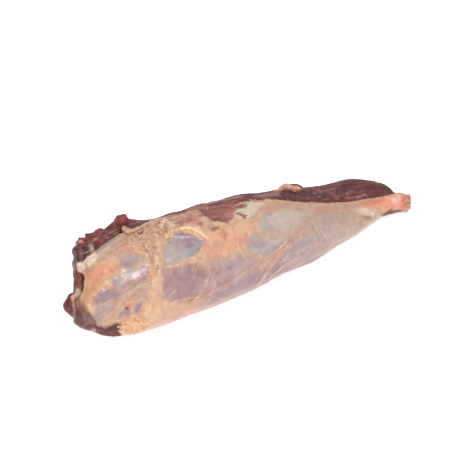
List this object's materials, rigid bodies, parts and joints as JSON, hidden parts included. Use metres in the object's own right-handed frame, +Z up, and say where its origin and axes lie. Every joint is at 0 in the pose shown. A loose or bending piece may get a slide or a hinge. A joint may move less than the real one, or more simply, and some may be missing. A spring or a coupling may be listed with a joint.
{
  "type": "boneless veal roast",
  "caption": "Raw boneless piece of veal that tapers from a thick cut end to a thin sinewy tip, with fat and silverskin on its front, lying on its side.",
  "frame": {"origin": "on the surface that the meat lies on, under the middle of its bounding box", "axes": "+X along the meat towards the thin tip, -Y out of the front that silverskin and fat cover, +Z up"},
  "size_m": [0.4926, 0.1426, 0.1062],
  "materials": {
    "raw_meat": "wet raw meat: fat, silverskin and lean"
  },
  "bodies": {
    "root": {"veal_roast": "raw_meat"}
  },
  "joints": []
}
